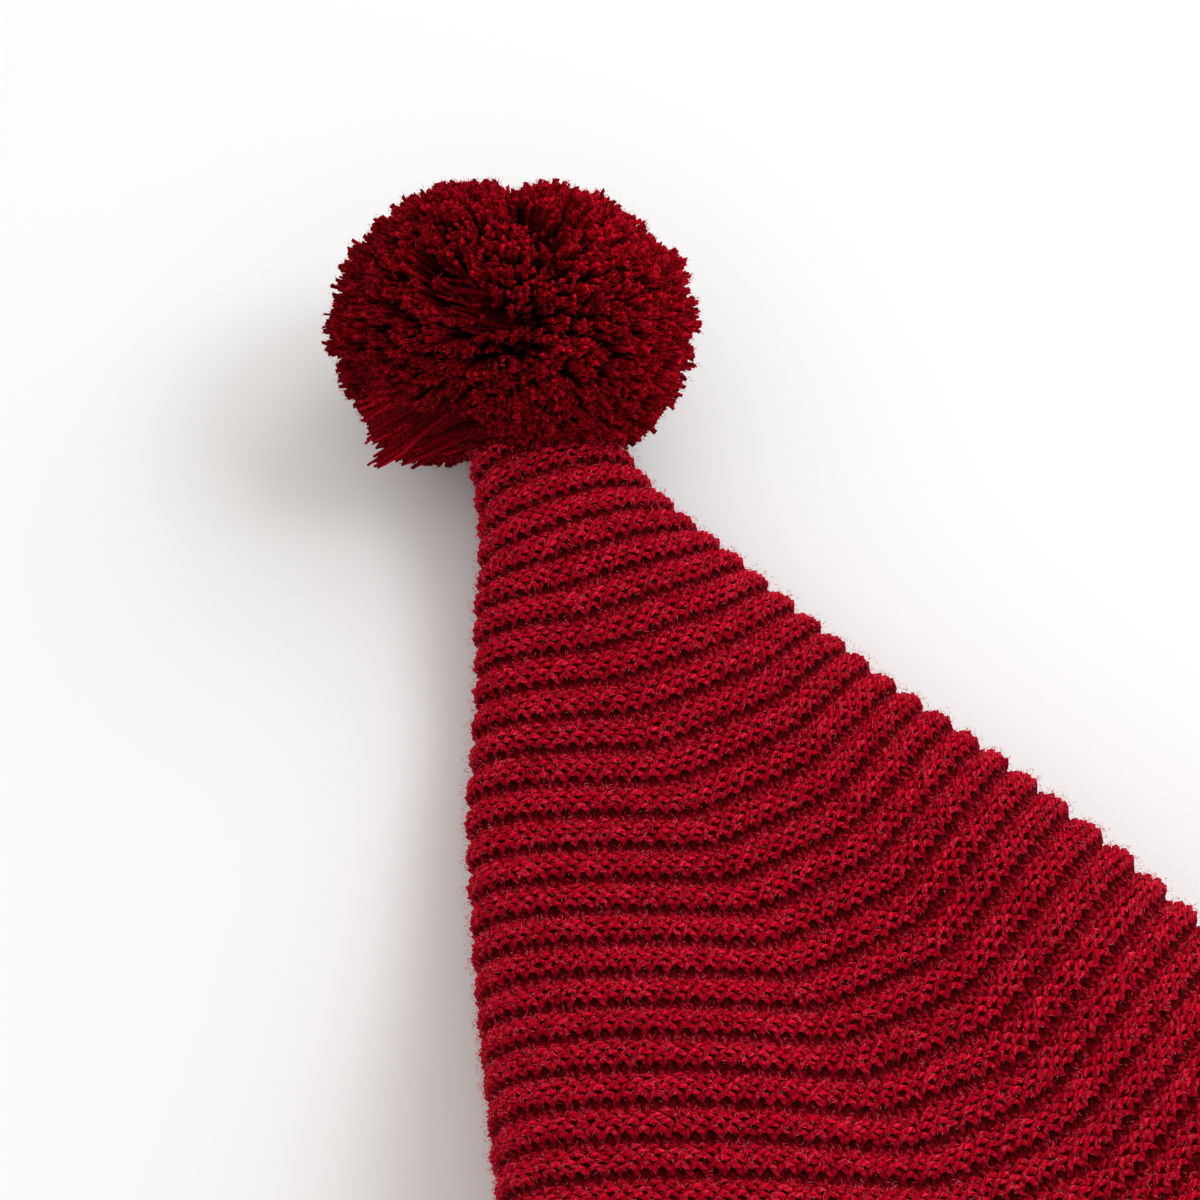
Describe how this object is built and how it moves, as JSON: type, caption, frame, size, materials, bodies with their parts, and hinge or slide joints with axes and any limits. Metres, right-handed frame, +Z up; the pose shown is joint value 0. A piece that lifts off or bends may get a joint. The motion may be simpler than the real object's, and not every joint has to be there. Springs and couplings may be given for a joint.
{
  "type": "knit hat",
  "caption": "Pointed knit hat with broad horizontal ridges and a yarn pompom on its tip, lying on its side; for covering the head.",
  "frame": {"origin": "middle of the bounding box, on the surface that the hat lies on", "axes": "+Y towards the pompom, -Y towards the head opening, +Z up from the surface, +X to the right seen from the opening's side above"},
  "size_m": [0.1468, 0.2502, 0.0597],
  "materials": {
    "crown_wool": "matt ridged knit of two-ply wool",
    "pompom_wool": "matt cut wool yarn"
  },
  "bodies": {
    "root": {"knit_crown": "crown_wool", "pompom": "pompom_wool"}
  },
  "joints": []
}
